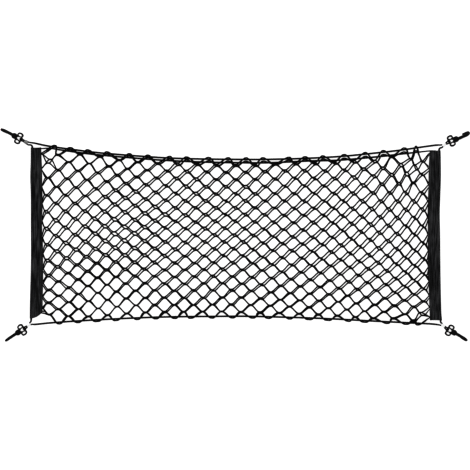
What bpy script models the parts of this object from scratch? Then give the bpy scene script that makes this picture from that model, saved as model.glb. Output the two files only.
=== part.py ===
"""Cargo net: a two-layer pocket of knotless netting, with a cord round its edge, two bands and four hooks.

The net lies face up on the floor. Units are metres and +Z is up. +Y points to the pocket's open edge,
+X to the right, and the origin is under the middle of the whole object.
"""

import functools
import math

import bmesh
import bpy
import numpy as np
from mathutils.geometry import delaunay_2d_cdt

MM = 0.001

# Cords. A route is a list of (x, y) in millimetres, from left to right.
CORD_RADIUS = 1.65
CLEARANCE = 0.3
TOP_ROUTE = [
    (-437, 200.1), (-419, 196.1), (-393, 191.7), (-349, 185.8), (-296, 179.4), (-209, 172.2), (-143, 168.0),
    (-66, 165.8), (11, 165.0), (66, 165.0), (143, 166.9), (208, 170.0), (252, 173.3), (318, 180.1),
    (362, 185.2), (399, 190.6), (419, 193.4), (440, 196.2),
]
RIM_ROUTE = [
    (-441, 187.6), (-424, 188.6), (-406, 189.3), (-384, 186.0), (-340, 179.7), (-296, 174.6), (-209, 166.9),
    (-143, 162.3), (-66, 159.0), (11, 157.7), (77, 157.7), (164, 161.6), (230, 163.4), (318, 171.3),
    (362, 176.6), (388, 179.4), (417, 181.8), (440, 181.4),
]
BOTTOM_ROUTE = [
    (-437, -196.8), (-408, -193.8), (-362, -190.4), (-296, -186.5), (-220, -182.8), (-143, -180.3),
    (-33, -179.2), (33, -179.2), (121, -181.4), (208, -184.5), (296, -189.1), (362, -192.4),
    (419, -195.2), (437, -196.5),
]
TOP_CORD_Z = 1.8
RIM_END_RADIUS = 1.05
RIM_TAPER = 55.0
TUBE_SIDES_RESOLUTION = 2

# Netting: two layers of the same even mesh, each cell twice the pitch of the real one.
YARN_WIDTH = 2.6
JOINT_HEIGHT = 4.8
JOINT_HALF_LENGTH = 4.5
SHEET_HALF = 1.0
LAYER_GAP = 0.4
COLUMNS = 21
ROWS = 12
COLUMN_PITCH = 40.3
ROW_PITCH = 29.3
BORDER = 3.0
INSIDE_OUTLINES = 1
MERGE_WITHIN = 0.001
# A row for each eighth of the width: x at the top, middle and bottom, and how far the middle rows sit low.
STRETCH = [
    # x_top, x_middle, x_bottom, middle_drop
    (-428, -428, -428, 12),
    (-316, -327, -323, 5),
    (-208, -216, -214, 0),
    (-100, -105, -109, 1),
    (4, 1, -4, 1),
    (115, 113, 102, 5),
    (232, 226, 216, 8),
    (342, 330, 322, 15),
    (431, 429, 429, 20),
]
FRONT_SHIFT = 4.0
BORDER_EASE = 0.35
TOP_DIP_LENGTH = 45.0
TOP_DIP_LEFT = 11.0
TOP_DIP_RIGHT = 12.5
FOLD_END_INSET = 15.0
FOLD_END_ROWS = 2.0

# The fold round the bottom cord, as the sheet's middle line.
FOLD_RADIUS = CORD_RADIUS + CLEARANCE + SHEET_HALF + 0.3
FOLD_FACETS = 4
FOLD_SETTLE = 12.0
FOLD_SETTLE_STEPS = 2

# Bands: folded strips, a row for each station from top to bottom.
BAND_THICKNESS = 1.0
BAND_HEIGHT = 7.6
BAND_ARC_STEPS = 8
CORD_PAST_BAND = 2.0
CORD_EASE = 0.05
BAND_LEFT = [
    # y at the fold, x at the fold, x at the inner edge, y at the inner edge
    (191.3, -447.9, -425.4, 191.3),
    (176.0, -447.6, -424.9, 176.0),
    (100.0, -447.6, -422.9, 100.0),
    (-12.0, -447.9, -422.4, -12.0),
    (-100.0, -449.0, -421.4, -100.0),
    (-150.0, -449.8, -422.4, -145.0),
    (-184.1, -450.1, -422.9, -170.0),
]
BAND_RIGHT = [
    (184.7, 450.5, 427.0, 184.7),
    (170.0, 450.2, 426.3, 170.0),
    (90.0, 449.8, 424.1, 90.0),
    (0.0, 449.9, 422.8, 0.0),
    (-90.0, 450.6, 423.9, -90.0),
    (-165.0, 451.8, 426.8, -165.0),
    (-188.3, 453.6, 427.0, -187.8),
]
NET_RISE = 1.7

# Corners: where each hook's yoke ends, and which way the hook and the sleeve point.
CORNERS = {
    # name: (x, y, hook's and sleeve's directions in degrees, side of the axis of the top or bottom run)
    "top_left": (-468.0, 209.1, 151.9, 151.9, -1),
    "top_right": (467.4, 202.7, 26.5, 29.5, 1),
    "bottom_right": (464.1, -206.2, -29.4, -37.0, -1),
    "bottom_left": (-461.1, -205.4, 213.1, 217.5, 1),
}

# Crimps: flat oval sleeves round the two legs of a corner loop.
CRIMP_FROM = -15.5
CRIMP_TO = -7.0
PAST_CRIMP = 1.2
CRIMP_Z = 2.4
CRIMP_WALL = 0.6
LEG_OFFSET = 1.5
LEG_RADIUS = 1.3
SPREAD_LENGTH = 1.6
SPREAD_OFFSET = 2.6
LOOP_EASE = 0.17
CRIMP_ARC_STEPS = 5

# Hooks, in their own frame: x along the hook from the yoke's end, z up.
PLATE_BOTTOM = 3.8
PLATE_TOP = 6.2
YOKE_END = -1.2
YOKE_BAR = 0.8
YOKE_HALF_BAR = 4.2
EYE_CENTRE = 5.0
EYE_HALF = (6.0, 4.1)
EYE_CORNER = 0.8
EYE_STEPS = 7
EAR_CENTRE = (6.1, 8.1)
EAR_HALF = (6.1, 4.4)
EAR_HOLE_HALF = (3.7, 1.9)
EAR_SPAN = (-30.0, 210.0)
EAR_STEPS = 9
HOLE_STEPS = 8
PLATE_ROOT = (15.5, 4.4)
BOSS_CENTRE = 17.3
BOSS_STEPS = 14
BOSS_PROFILE = [(0.0, 8.4), (2.7, 8.1), (4.7, 7.0), (5.6, 5.2), (5.6, 0.5), (5.2, 0.0), (0.0, 0.0)]
SHANK_START = 14.5
SHANK_THICKNESS = 4.2
SHANK_TOP = [(24.0, SHANK_THICKNESS), (SHANK_START, 5.2)]
BEND_CENTRE = 41.9
BEND_OUTER = 8.4
BEND_STEPS = 7
MOUTH_BEND_CENTRE = 41.3
MOUTH_HALF = 4.5
MOUTH_FLAT_HALF = 1.8
MOUTH_STEPS = 3
TIP = [(35.5, 17.3), (32.4, 17.6), (31.8, 16.6), (33.0, 15.0), (36.5, 13.8)]
# Width of the prong: along the shank, and at the end of its return arm.
PRONG_WIDTHS = [(14.5, 7.0), (20.5, 4.8), (25.0, 4.2), (35.0, 6.0), (42.0, 6.0), (46.0, 5.4), (50.3, 3.4)]
ARM_WIDTHS = [(31.8, 3.2), (41.0, 5.6), (46.0, 5.4), (50.3, 3.4)]


def smooth_curve(points, steps):
    """Points along the Catmull-Rom curve through these, with so many steps a span."""
    p = np.array(points, float)
    p = np.vstack([2 * p[0] - p[1], p, 2 * p[-1] - p[-2]])
    found = []
    for a, b, c, d in zip(p[:-3], p[1:-2], p[2:-1], p[3:]):
        for k in range(steps):
            t = k / steps
            square = 2 * a - 5 * b + 4 * c - d
            cube = 3 * b - a - 3 * c + d
            found.append(0.5 * (2 * b + (c - a) * t + square * t**2 + cube * t**3))
    found.append(p[-2])
    return np.array(found)


@functools.cache
def curve_of(route, steps):
    return smooth_curve(route, steps)


def height_on(route, x):
    """The route's y at this x."""
    curve = curve_of(tuple(route), 8)
    return float(np.interp(x, curve[:, 0], curve[:, 1]))


def eased(t):
    """0 to 1, with level ends."""
    t = min(max(t, 0.0), 1.0)
    return t * t * (3 - 2 * t)


def ellipse(centre, half, steps, start=0.0, end=360.0):
    """Points round an ellipse, from start towards end, in degrees; a full turn leaves the last one out."""
    spans = steps if end - start >= 360.0 else steps - 1
    angles = [math.radians(start + (end - start) * k / spans) for k in range(steps)]
    return [(centre[0] + half[0] * math.cos(a), centre[1] + half[1] * math.sin(a)) for a in angles]


def add_object(name, data, collection, material=None):
    obj = bpy.data.objects.new(name, data)
    collection.objects.link(obj)
    if material:
        data.materials.append(material)
    return obj


def make_material(name, colour, roughness, metallic=0.0):
    material = bpy.data.materials.new(name)
    material.use_nodes = True
    shader = material.node_tree.nodes["Principled BSDF"]
    shader.inputs["Base Color"].default_value = (*colour, 1.0)
    shader.inputs["Roughness"].default_value = roughness
    shader.inputs["Metallic"].default_value = metallic
    return material


def tube_curve(name, points, radii, closed):
    """A round tube through these points in millimetres, with its own radius at each."""
    curve = bpy.data.curves.new(name, "CURVE")
    curve.dimensions = "3D"
    curve.bevel_depth = CORD_RADIUS * MM
    curve.bevel_resolution = TUBE_SIDES_RESOLUTION
    curve.use_fill_caps = not closed
    spline = curve.splines.new("POLY")
    spline.points.add(len(points) - 1)
    for target, point, radius in zip(spline.points, points, radii):
        target.co = (point[0] * MM, point[1] * MM, point[2] * MM, 1.0)
        target.radius = radius / CORD_RADIUS
    spline.use_cyclic_u = closed
    return curve


def flat_mesh(name, outlines, thickness):
    """A plate on the plane z = 0, half its thickness on each side, from its edge and then its holes."""
    curve = bpy.data.curves.new(name + "_outline", "CURVE")
    curve.dimensions = "2D"
    curve.fill_mode = "BOTH"
    curve.extrude = thickness / 2 * MM
    for outline in outlines:
        spline = curve.splines.new("POLY")
        spline.points.add(len(outline) - 1)
        for target, (x, y) in zip(spline.points, outline):
            target.co = (x * MM, y * MM, 0.0, 1.0)
        spline.use_cyclic_u = True
    holder = add_object(name + "_outline", curve, bpy.context.scene.collection)
    mesh = mesh_of(holder, name)
    bpy.data.objects.remove(holder)
    bpy.data.curves.remove(curve)
    return mesh


def mesh_of(obj, name):
    """The object's evaluated mesh as a mesh of its own, with loose seams welded."""
    bpy.context.view_layer.update()
    mesh = bpy.data.meshes.new_from_object(obj.evaluated_get(bpy.context.evaluated_depsgraph_get()))
    mesh.name = name
    welded = bmesh.new()
    welded.from_mesh(mesh)
    bmesh.ops.remove_doubles(welded, verts=welded.verts, dist=0.00001)
    welded.to_mesh(mesh)
    welded.free()
    return mesh


def shade_round(mesh):
    mesh.shade_smooth()
    mesh.set_sharp_from_angle(angle=math.radians(40))


# Netting


def clipped(polygon, axis, limit, side):
    """The part of the polygon where side * (coordinate - limit) <= 0."""
    kept = []
    for a, b in zip(polygon, polygon[1:] + polygon[:1]):
        inside_a = side * (a[axis] - limit) <= 0
        inside_b = side * (b[axis] - limit) <= 0
        if inside_a:
            kept.append(a)
        if inside_a != inside_b:
            t = (limit - a[axis]) / (b[axis] - a[axis])
            kept.append((a[0] + (b[0] - a[0]) * t, a[1] + (b[1] - a[1]) * t))
    return kept


def cell_outline(column, row):
    """The gap of one cell in the unfolded sheet: flat above and below, pointed left and right."""
    run = COLUMN_PITCH - 2 * JOINT_HALF_LENGTH
    inset = YARN_WIDTH / 2 * math.hypot(run, ROW_PITCH) / ROW_PITCH
    half_height = ROW_PITCH - JOINT_HEIGHT / 2
    tip = COLUMN_PITCH - JOINT_HALF_LENGTH - inset
    shoulder = tip - half_height * run / ROW_PITCH
    x, y = column * COLUMN_PITCH, row * ROW_PITCH
    polygon = [
        (x - tip, y),
        (x - shoulder, y - half_height),
        (x + shoulder, y - half_height),
        (x + tip, y),
        (x + shoulder, y + half_height),
        (x - shoulder, y + half_height),
    ]
    polygon = clipped(polygon, 0, BORDER, -1)
    polygon = clipped(polygon, 0, COLUMNS * COLUMN_PITCH - BORDER, 1)
    polygon = clipped(polygon, 1, -ROWS * ROW_PITCH + BORDER, -1)
    return clipped(polygon, 1, ROWS * ROW_PITCH - BORDER, 1)


def sheet_outline():
    """The unfolded sheet's edge, with a point at each column and row."""
    wide, high = COLUMNS * COLUMN_PITCH, ROWS * ROW_PITCH
    bottom = [(column * COLUMN_PITCH, -high) for column in range(COLUMNS)]
    right = [(wide, row * ROW_PITCH) for row in range(-ROWS, ROWS)]
    top = [(column * COLUMN_PITCH, high) for column in range(COLUMNS, 0, -1)]
    left = [(0.0, row * ROW_PITCH) for row in range(ROWS, -ROWS, -1)]
    return bottom + right + top + left


def unfolded_sheet():
    """The netting laid out flat on z = 0, in even triangles that can be bent, with its gaps left open."""
    outlines = [sheet_outline()]
    for row in range(-ROWS, ROWS + 1):
        for column in range(COLUMNS + 1):
            if (column + row) % 2 == 0:
                outlines.append(cell_outline(column, row))
    points = []
    loops = []
    for outline in outlines:
        loops.append(list(range(len(points), len(points) + len(outline))))
        points += outline
    verts, _, faces, _, _, inside = delaunay_2d_cdt(points, [], loops, INSIDE_OUTLINES, MERGE_WITHIN)
    sheet = bmesh.new()
    for x, y in verts:
        sheet.verts.new((x * MM, y * MM, 0.0))
    sheet.verts.ensure_lookup_table()
    for face, outlines_round_it in zip(faces, inside):
        if len(outlines_round_it) == 1:
            sheet.faces.new([sheet.verts[k] for k in face])
    return sheet


def fold_section(distance):
    """Across the fold: (distance above its lowest point, height, normal) of the sheet's middle line.

    The distance runs along the sheet, negative in the back layer and positive in the front one.
    """
    half_arc = FOLD_RADIUS * math.pi / 2
    centre_z = SHEET_HALF + FOLD_RADIUS
    front_z = 3 * SHEET_HALF + LAYER_GAP
    if distance < -half_arc:
        return FOLD_RADIUS - distance - half_arc, SHEET_HALF, (0.0, -1.0)
    if distance <= half_arc:
        angle = distance / FOLD_RADIUS
        normal = (-math.cos(angle), math.sin(angle))
        return FOLD_RADIUS * (1 + normal[0]), centre_z + FOLD_RADIUS * normal[1], normal
    past = distance - half_arc
    fall = centre_z + FOLD_RADIUS - front_z
    height = front_z + fall * (1 - eased(past / FOLD_SETTLE))
    return FOLD_RADIUS + past, height, (0.0, 1.0)


def across(fraction, column):
    """A column of the STRETCH table at this fraction of the width."""
    stations = np.linspace(0.0, 1.0, len(STRETCH))
    return height_on([(station, row[column]) for station, row in zip(stations, STRETCH)], fraction)


def top_edge(x, front):
    """Where a layer's upper edge lies at this x: just under its cord, a little lower near a band."""
    below_cord = CORD_RADIUS + CLEARANCE + BORDER_EASE
    if front:
        return height_on(RIM_ROUTE, x) - below_cord
    first, last = STRETCH[0][0], STRETCH[-1][0]
    dip_left = TOP_DIP_LEFT * eased(1 - (x - first) / TOP_DIP_LENGTH)
    dip_right = TOP_DIP_RIGHT * eased(1 - (last - x) / TOP_DIP_LENGTH)
    return height_on(TOP_ROUTE, x) - below_cord - dip_left - dip_right


def net_point(x, y, z):
    """Where a point of the unfolded sheet lies in the folded and stretched net, in millimetres."""
    column, row = x / COLUMN_PITCH, y / ROW_PITCH
    front = row > 0
    up = abs(row) / ROWS
    fraction = column / COLUMNS
    x_top, x_middle, x_bottom, drop = (across(fraction, k) for k in range(4))
    place = x_bottom * (1 - up) * (1 - 2 * up) + x_middle * 4 * up * (1 - up) + x_top * up * (2 * up - 1)
    if front:
        place += FRONT_SHIFT * 4 * up * (1 - up) * eased(column) * eased(COLUMNS - column)
    inset = FOLD_END_INSET * max(0.0, 1 - abs(row) / FOLD_END_ROWS)
    place += inset * (max(0.0, 1 - column) - max(0.0, 1 - (COLUMNS - column)))

    above, height, normal = fold_section(y)
    cord_y = height_on(BOTTOM_ROUTE, place)
    metric = FOLD_RADIUS * (1 - math.pi / 2) + abs(y)
    full = FOLD_RADIUS * (1 - math.pi / 2) + ROWS * ROW_PITCH
    reach = top_edge(place, front) - cord_y + FOLD_RADIUS
    free = max(0.0, metric - ROW_PITCH / 2) / (full - ROW_PITCH / 2)
    above += free * (reach - full) - drop * 4 * free * (1 - free)

    side = max(0.0, 1 - column) + max(0.0, 1 - (COLUMNS - column))
    rise = NET_RISE * side * min(1.0, max(0.0, 2 * abs(row) - 1))
    return (
        place,
        cord_y - FOLD_RADIUS + above + normal[0] * z,
        height + rise + normal[1] * z,
    )


def make_net(collection, material):
    """One sheet with its gaps cut, folded in two round the bottom cord."""
    sheet = unfolded_sheet()
    half_arc = FOLD_RADIUS * math.pi / 2
    bends = [half_arc * (2 * k / FOLD_FACETS - 1) for k in range(FOLD_FACETS + 1)]
    bends += [half_arc + FOLD_SETTLE * (k + 1) / FOLD_SETTLE_STEPS for k in range(FOLD_SETTLE_STEPS)]
    for bend in bends:
        geom = sheet.verts[:] + sheet.edges[:] + sheet.faces[:]
        place = (0, bend * MM, 0)
        bmesh.ops.bisect_plane(sheet, geom=geom, dist=1e-7, plane_co=place, plane_no=(0, 1, 0))
    bmesh.ops.triangulate(sheet, faces=sheet.faces[:])
    extruded = bmesh.ops.extrude_face_region(sheet, geom=sheet.faces[:])["geom"]
    lifted = {item for item in extruded if isinstance(item, bmesh.types.BMVert)}
    for vert in sheet.verts:
        vert.co.z = SHEET_HALF * MM if vert in lifted else -SHEET_HALF * MM
    bmesh.ops.recalc_face_normals(sheet, faces=sheet.faces[:])
    for vert in sheet.verts:
        vert.co = [value * MM for value in net_point(*(value / MM for value in vert.co))]
    mesh = bpy.data.meshes.new("net")
    sheet.to_mesh(mesh)
    sheet.free()
    return add_object("net", mesh, collection, material)


# Bands


def band_section(x_fold, x_edge):
    """The folded strip's middle line across its width: lower leaf, fold, upper leaf."""
    outward = math.copysign(1, x_fold - x_edge)
    radius = (BAND_HEIGHT - BAND_THICKNESS) / 2
    centre_x = x_fold - outward * (BAND_THICKNESS / 2 + radius)
    centre_z = BAND_HEIGHT / 2
    arc = []
    for k in range(BAND_ARC_STEPS + 1):
        angle = math.pi * (k / BAND_ARC_STEPS - 0.5)
        arc.append((centre_x + outward * radius * math.cos(angle), centre_z + radius * math.sin(angle)))
    return [(x_edge, centre_z - radius)] + arc + [(x_edge, centre_z + radius)]


def make_band(name, stations, collection, material):
    """A strip folded lengthwise: a grid laid on the folded section at each station, thickened."""
    sections = [band_section(x_fold, x_edge) for _, x_fold, x_edge, _ in stations]
    shape = bmesh.new()
    bmesh.ops.create_grid(shape, x_segments=len(sections[0]) - 1, y_segments=len(stations) - 1, size=1.0)
    for vert in shape.verts:
        point = round((vert.co.x + 1) / 2 * (len(sections[0]) - 1))
        station = round((1 - vert.co.y) / 2 * (len(stations) - 1))
        x, z = sections[station][point]
        y_fold, x_fold, x_edge, y_edge = stations[station]
        y = y_fold + (y_edge - y_fold) * (x - x_fold) / (x_edge - x_fold)
        vert.co = (x * MM, y * MM, z * MM)
    bmesh.ops.recalc_face_normals(shape, faces=shape.faces[:])
    mesh = bpy.data.meshes.new(name)
    shape.to_mesh(mesh)
    shape.free()
    band = add_object(name, mesh, collection, material)
    shell = band.modifiers.new("thickness", "SOLIDIFY")
    shell.thickness = BAND_THICKNESS * MM
    shell.offset = 0.0
    shell.use_even_offset = True
    return band


# Corners


def corner_point(name, along, beside, height):
    """A point of a corner's own frame in the net's: the hook's frame, or the sleeve's from its end on.

    Beside is positive towards the cord's side run.
    """
    x, y, hook_turn, sleeve_turn, run_side = CORNERS[name]
    angle = math.radians(sleeve_turn if along <= CRIMP_TO + PAST_CRIMP else hook_turn)
    left = -run_side * beside
    return (
        x + along * math.cos(angle) - left * math.sin(angle),
        y + along * math.sin(angle) + left * math.cos(angle),
        height,
    )


def corner_loop(name):
    """In at the crimp from the side run, round the yoke's bar, and out to the top or bottom run."""
    around = LEG_RADIUS + CLEARANCE + LOOP_EASE
    low, high = PLATE_BOTTOM - around, PLATE_TOP + around
    far = YOKE_BAR + around
    slant = around * math.sqrt(0.5)
    rows = [
        # along, beside, height
        (CRIMP_FROM - PAST_CRIMP - SPREAD_LENGTH, SPREAD_OFFSET, CRIMP_Z),
        (CRIMP_FROM - PAST_CRIMP, LEG_OFFSET, CRIMP_Z),
        (CRIMP_TO + PAST_CRIMP, LEG_OFFSET, CRIMP_Z),
        (-3.2, 2.2, 2.1),
        (YOKE_END, 2.4, low),
        (YOKE_BAR, 2.2, low),
        (YOKE_BAR + slant, 1.6, PLATE_BOTTOM - slant),
        (far, 0.8, PLATE_BOTTOM),
        (far, -0.8, PLATE_TOP),
        (YOKE_BAR + slant, -1.6, PLATE_TOP + slant),
        (YOKE_BAR, -2.2, high),
        (YOKE_END, -2.4, high),
        (YOKE_END - slant, -2.4, PLATE_TOP + slant),
        (-4.0, -2.1, 5.0),
        (CRIMP_TO + PAST_CRIMP, -LEG_OFFSET, CRIMP_Z),
        (CRIMP_FROM - PAST_CRIMP, -LEG_OFFSET, CRIMP_Z),
        (CRIMP_FROM - PAST_CRIMP - SPREAD_LENGTH, -SPREAD_OFFSET, CRIMP_Z),
    ]
    return [(*corner_point(name, along, beside, height), LEG_RADIUS) for along, beside, height in rows]


def side_run(stations):
    """The cord inside a band, from top to bottom, just inside the fold."""
    inset = BAND_THICKNESS + CLEARANCE + CORD_EASE + CORD_RADIUS
    rows = []
    for y_fold, x_fold, x_edge, _ in stations:
        x = x_fold - math.copysign(inset, x_fold - x_edge)
        rows.append([x, y_fold, BAND_HEIGHT / 2, CORD_RADIUS])
    rows[0][1] += CORD_PAST_BAND
    rows[-1][1] -= CORD_PAST_BAND
    return rows


def bottom_cord_height(x):
    """The bottom run lies in the net's fold, and comes down towards the crimps past the net's ends."""
    inside = SHEET_HALF + FOLD_RADIUS
    left = STRETCH[0][2] + FOLD_END_INSET
    right = STRETCH[-1][2] - FOLD_END_INSET
    past = max(0.0, left - x, x - right)
    return inside + (CRIMP_Z - inside) * eased(past / 30.0)


def make_edge_cord(collection, material):
    """One closed cord: top run, right side, bottom run, left side, with a loop at each corner."""
    top = [(x, y, TOP_CORD_Z, CORD_RADIUS) for x, y in smooth_curve(TOP_ROUTE, 2)]
    bottom = [(x, y, bottom_cord_height(x), CORD_RADIUS) for x, y in smooth_curve(BOTTOM_ROUTE, 2)]
    route = top + corner_loop("top_right")[::-1]
    route += side_run(BAND_RIGHT) + corner_loop("bottom_right")
    route += bottom[::-1] + corner_loop("bottom_left")[::-1]
    route += side_run(BAND_LEFT)[::-1] + corner_loop("top_left")
    points = [point[:3] for point in route]
    radii = [point[3] for point in route]
    return add_object("edge_cord", tube_curve("edge_cord", points, radii, True), collection, material)


def make_rim_cord(collection, material):
    """The front layer's cord, over the back layer, thinner where it is sewn into the bands."""
    curve = smooth_curve(RIM_ROUTE, 2)
    points = []
    radii = []
    first, last = STRETCH[0][0], STRETCH[-1][0]
    for x, y in curve:
        near = min(1.0, max(0.0, 1 - min(x - first, last - x) / RIM_TAPER))
        radius = CORD_RADIUS + (RIM_END_RADIUS - CORD_RADIUS) * near
        points.append((x, y, 2 * SHEET_HALF + NET_RISE * near + CLEARANCE + radius))
        radii.append(radius)
    return add_object("rim_cord", tube_curve("rim_cord", points, radii, False), collection, material)


def stadium(half_width, half_height):
    """A flat oval, with semicircular ends."""
    straight = half_width - half_height
    right = ellipse((straight, 0.0), (half_height, half_height), CRIMP_ARC_STEPS, -90.0, 90.0)
    left = ellipse((-straight, 0.0), (half_height, half_height), CRIMP_ARC_STEPS, 90.0, 270.0)
    return right + left


def crimp_mesh():
    """An oval sleeve along x from CRIMP_FROM to CRIMP_TO."""
    inner_width = LEG_OFFSET + LEG_RADIUS + CLEARANCE
    inner_height = LEG_RADIUS + CLEARANCE
    outer = stadium(inner_width + CRIMP_WALL, inner_height + CRIMP_WALL)
    inner = stadium(inner_width, inner_height)
    mesh = flat_mesh("crimp", [outer, inner], CRIMP_TO - CRIMP_FROM)
    for vert in mesh.vertices:
        across_sleeve, up, along = vert.co
        vert.co = (along + (CRIMP_FROM + CRIMP_TO) / 2 * MM, across_sleeve, up + CRIMP_Z * MM)
    shade_round(mesh)
    return mesh


# Hooks


def plate_mesh():
    """The yoke plate: a cross bar, a D-shaped eye behind it, an ear on each side, and a root in the boss."""
    ear = [(2 * EAR_CENTRE[0] - x, y) for x, y in ellipse(EAR_CENTRE, EAR_HALF, EAR_STEPS, *EAR_SPAN)]
    half = [(YOKE_END, YOKE_HALF_BAR)] + ear + [PLATE_ROOT]
    outline = half + [(x, -y) for x, y in reversed(half)]
    half_eye = EYE_HALF[1]
    eye = ellipse((EYE_CENTRE, 0.0), EYE_HALF, EYE_STEPS, -90.0, 90.0)
    eye += [(YOKE_BAR + EYE_CORNER, half_eye), (YOKE_BAR, half_eye - EYE_CORNER)]
    eye += [(YOKE_BAR, EYE_CORNER - half_eye), (YOKE_BAR + EYE_CORNER, -half_eye)]
    ear_x, ear_y = EAR_CENTRE
    ear_holes = [ellipse((ear_x, y), EAR_HOLE_HALF, HOLE_STEPS) for y in (ear_y, -ear_y)]
    mesh = flat_mesh("plate", [outline, eye] + ear_holes, PLATE_TOP - PLATE_BOTTOM)
    for vert in mesh.vertices:
        vert.co.z += (PLATE_TOP + PLATE_BOTTOM) / 2 * MM
    return mesh


def prong_mesh():
    """The prong: a J in side view, with its mouth's inner end flat, given its width by the two tables.

    The J is cut from a plate whose sides are at -1 and 1, and each side is then moved out to half its width.
    """
    outer = ellipse((BEND_CENTRE, BEND_OUTER), (BEND_OUTER, BEND_OUTER), BEND_STEPS, -90.0, 90.0)
    middle = SHANK_THICKNESS + MOUTH_HALF
    round_x = MOUTH_BEND_CENTRE + MOUTH_FLAT_HALF
    corner = (MOUTH_HALF - MOUTH_FLAT_HALF, MOUTH_HALF - MOUTH_FLAT_HALF)
    upper = ellipse((round_x, middle + MOUTH_FLAT_HALF), corner, MOUTH_STEPS, 90.0, 0.0)
    lower = ellipse((round_x, middle - MOUTH_FLAT_HALF), corner, MOUTH_STEPS, 0.0, -90.0)
    outline = [(SHANK_START, 0.0)] + outer + TIP + upper + lower + SHANK_TOP
    mesh = flat_mesh("prong", [outline], 2.0)
    for vert in mesh.vertices:
        along, up, side = vert.co / MM
        table = ARM_WIDTHS if up > SHANK_THICKNESS + 2 * MOUTH_HALF - 1 else PRONG_WIDTHS
        width = float(np.interp(along, *zip(*table)))
        vert.co = (along * MM, -side * width / 2 * MM, up * MM)
    return mesh


def boss_object(collection):
    """The round boss between plate and prong, turned about its own axis."""
    mesh = bpy.data.meshes.new("boss")
    profile = bmesh.new()
    verts = [profile.verts.new((r * MM, 0.0, z * MM)) for r, z in BOSS_PROFILE]
    for a, b in zip(verts, verts[1:]):
        profile.edges.new((a, b))
    profile.to_mesh(mesh)
    profile.free()
    boss = add_object("boss", mesh, collection)
    turn = boss.modifiers.new("turn", "SCREW")
    turn.steps = turn.render_steps = BOSS_STEPS
    turn.use_merge_vertices = True
    turn.merge_threshold = 0.00001
    boss.location.x = BOSS_CENTRE * MM
    return boss


def hook_mesh(cutters):
    """Plate, boss and prong joined into one moulding."""
    whole = add_object("hook_whole", plate_mesh(), cutters)
    boss = add_object("boss_solid", mesh_of(boss_object(cutters), "boss_solid"), cutters)
    boss.location.x = BOSS_CENTRE * MM
    prong = add_object("prong", prong_mesh(), cutters)
    for other in (boss, prong):
        union = whole.modifiers.new("join", "BOOLEAN")
        union.operation = "UNION"
        union.object = other
    mesh = mesh_of(whole, "hook")
    shade_round(mesh)
    return mesh


def main():
    for obj in list(bpy.data.objects):
        bpy.data.objects.remove(obj)
    parts = bpy.data.collections.new("cargo_net")
    cutters = bpy.data.collections.new("cutters")
    for collection in (parts, cutters):
        bpy.context.scene.collection.children.link(collection)
    netting = make_material("netting", (0.010, 0.010, 0.011), 0.75)
    webbing = make_material("webbing", (0.016, 0.016, 0.018), 0.85)
    cord = make_material("cord", (0.009, 0.009, 0.010), 0.7)
    steel = make_material("steel", (0.62, 0.62, 0.63), 0.3, metallic=1.0)
    plastic = make_material("plastic", (0.012, 0.012, 0.013), 0.35)

    make_net(parts, netting)
    make_band("band_left", BAND_LEFT, parts, webbing)
    make_band("band_right", BAND_RIGHT, parts, webbing)
    make_edge_cord(parts, cord)
    make_rim_cord(parts, cord)
    sleeve = crimp_mesh()
    sleeve.materials.append(steel)
    hook = hook_mesh(cutters)
    hook.materials.clear()
    hook.materials.append(plastic)
    for name, (x, y, hook_turn, sleeve_turn, _) in CORNERS.items():
        for kind, mesh, turn in (("crimp", sleeve, sleeve_turn), ("hook", hook, hook_turn)):
            piece = add_object(f"{kind}_{name}", mesh, parts)
            piece.location = (x * MM, y * MM, 0.0)
            piece.rotation_euler.z = math.radians(turn)
    for helper in cutters.objects:
        helper.hide_render = True
        helper.display_type = "WIRE"


main()
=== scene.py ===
"""Cargo net: yarn, cords, woven bands, sleeves and hooks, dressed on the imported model.

Sizes in the tables are millimetres in the model's own frame: +X to the right, +Y towards the pocket's open
edge, +Z up from the floor. MM turns them into metres.
"""

import functools
import math
import random

import bmesh
import bpy
import numpy as np
from mathutils import Matrix, Vector, noise


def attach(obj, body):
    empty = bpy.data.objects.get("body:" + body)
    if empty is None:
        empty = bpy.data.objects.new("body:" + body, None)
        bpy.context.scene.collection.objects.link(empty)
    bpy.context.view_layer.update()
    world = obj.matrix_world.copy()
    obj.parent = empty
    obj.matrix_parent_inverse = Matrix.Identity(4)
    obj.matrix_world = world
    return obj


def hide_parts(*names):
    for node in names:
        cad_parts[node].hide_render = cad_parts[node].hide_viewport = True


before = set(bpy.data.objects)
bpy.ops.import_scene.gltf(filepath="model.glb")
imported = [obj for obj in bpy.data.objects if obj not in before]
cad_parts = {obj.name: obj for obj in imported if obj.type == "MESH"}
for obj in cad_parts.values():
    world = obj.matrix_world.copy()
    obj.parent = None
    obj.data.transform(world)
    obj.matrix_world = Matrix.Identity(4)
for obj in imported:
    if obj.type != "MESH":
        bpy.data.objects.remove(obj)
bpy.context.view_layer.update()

MM = 0.001
UP = np.array((0.0, 0.0, 1.0))

# Camera: straight above, with a long lens. The photograph's frame covers VIEW_WIDTH at the net's height.
CAMERA_HEIGHT = 4.0
VIEW_WIDTH = 1.0317
VIEW_CENTRE = (-0.0001, -0.0008)

# Light and floor.
WORLD_STRENGTH = 1.0
FLOOR_GREY = 0.3
FLOOR_GLOW = 0.85
FLOOR_SIZE = 8.0
FLOOR_DROP = 0.6
KEY_POWER = 8.0
VIEW_GAMMA = 0.56
KEY_SIZE = 1.6
KEY_PLACE = (-0.9, 1.1, 1.9)
KEY_TILT = (-30.0, -25.0)

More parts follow.
